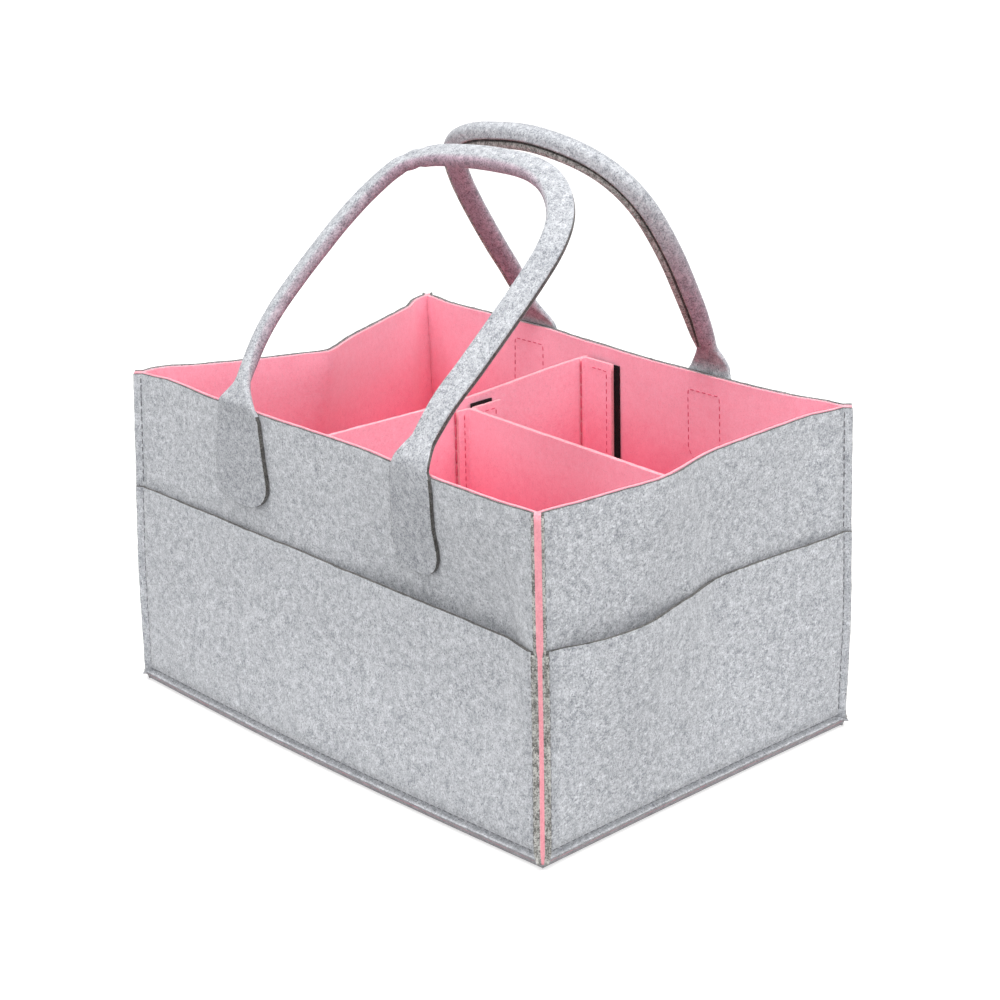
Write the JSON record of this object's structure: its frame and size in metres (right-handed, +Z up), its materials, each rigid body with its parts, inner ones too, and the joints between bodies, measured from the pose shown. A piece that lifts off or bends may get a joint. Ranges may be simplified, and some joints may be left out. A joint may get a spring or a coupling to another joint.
{
  "type": "diaper caddy",
  "caption": "Open felt caddy with lined walls, outside pockets, swinging carrying handles and movable upright dividers",
  "frame": {"origin": "bottom centre of the caddy, on the surface that it stands on", "axes": "+X along the long side, from left to right as seen from the front; -Y towards the front wall; +Z up"},
  "size_m": [0.3505, 0.2394, 0.3242],
  "materials": {
    "grey_felt": "matte",
    "pink_felt": "matte",
    "hook_tape": "matte"
  },
  "bodies": {
    "caddy": {"front_wall_shell": "grey_felt", "front_wall_lining": "pink_felt", "front_pocket": "grey_felt", "right_wall_shell": "grey_felt", "right_wall_lining": "pink_felt", "right_pocket": "grey_felt", "back_wall_shell": "grey_felt", "back_wall_lining": "pink_felt", "back_pocket": "grey_felt", "left_wall_shell": "grey_felt", "left_wall_lining": "pink_felt", "left_pocket": "grey_felt", "base_shell": "grey_felt", "base_lining": "pink_felt", "front_left_handle_tab": "grey_felt", "front_right_handle_tab": "grey_felt", "back_left_handle_tab": "grey_felt", "back_right_handle_tab": "grey_felt"},
    "front_handle": {"front_handle_loop": "grey_felt"},
    "back_handle": {"back_handle_loop": "grey_felt"},
    "cross_divider": {"cross_divider_panel": "pink_felt"},
    "cross_front_flap": {"cross_divider_front_flap": "pink_felt", "cross_divider_front_hook_strip": "hook_tape"},
    "cross_back_flap": {"cross_divider_back_flap": "pink_felt", "cross_divider_back_hook_strip": "hook_tape"},
    "long_divider": {"long_divider_panel": "pink_felt"},
    "long_inner_tab": {"long_divider_inner_tab": "pink_felt", "long_divider_inner_hook_strip": "hook_tape"},
    "long_outer_tab": {"long_divider_outer_tab": "pink_felt", "long_divider_outer_hook_strip": "hook_tape"}
  },
  "joints": [
    {"name": "front_handle_swing", "type": "hinge", "parent": "caddy", "child": "front_handle", "pos_m": [0, -0.112, 0.19], "axis": [1, 0, 0], "range_deg": [0, 178]},
    {"name": "back_handle_swing", "type": "hinge", "parent": "caddy", "child": "back_handle", "pos_m": [0, 0.1085, 0.19], "axis": [-1, 0, 0], "range_deg": [0, 166]},
    {"name": "cross_divider_slide", "type": "slide", "parent": "caddy", "child": "cross_divider", "axis": [1, 0, 0], "range_m": [-0.06, 0]},
    {"name": "long_divider_slide", "type": "slide", "parent": "cross_divider", "child": "long_divider", "axis": [0, 1, 0], "range_m": [-0.05, 0]},
    {"name": "cross_front_flap_peel", "type": "hinge", "parent": "cross_divider", "child": "cross_front_flap", "pos_m": [-0.0211, -0.1007, 0.0875], "axis": [0, 0, 1], "range_deg": [0, 75]},
    {"name": "cross_back_flap_peel", "type": "hinge", "parent": "cross_divider", "child": "cross_back_flap", "pos_m": [-0.0211, 0.0985, 0.0875], "axis": [0, 0, -1], "range_deg": [0, 75]},
    {"name": "long_inner_tab_peel", "type": "hinge", "parent": "long_divider", "child": "long_inner_tab", "pos_m": [-0.013, 0.00745, 0.085], "axis": [0, 0, -1], "range_deg": [0, 75]},
    {"name": "long_outer_tab_peel", "type": "hinge", "parent": "long_divider", "child": "long_outer_tab", "pos_m": [0.1541, -0.00445, 0.085], "axis": [0, 0, -1], "range_deg": [0, 75]}
  ]
}
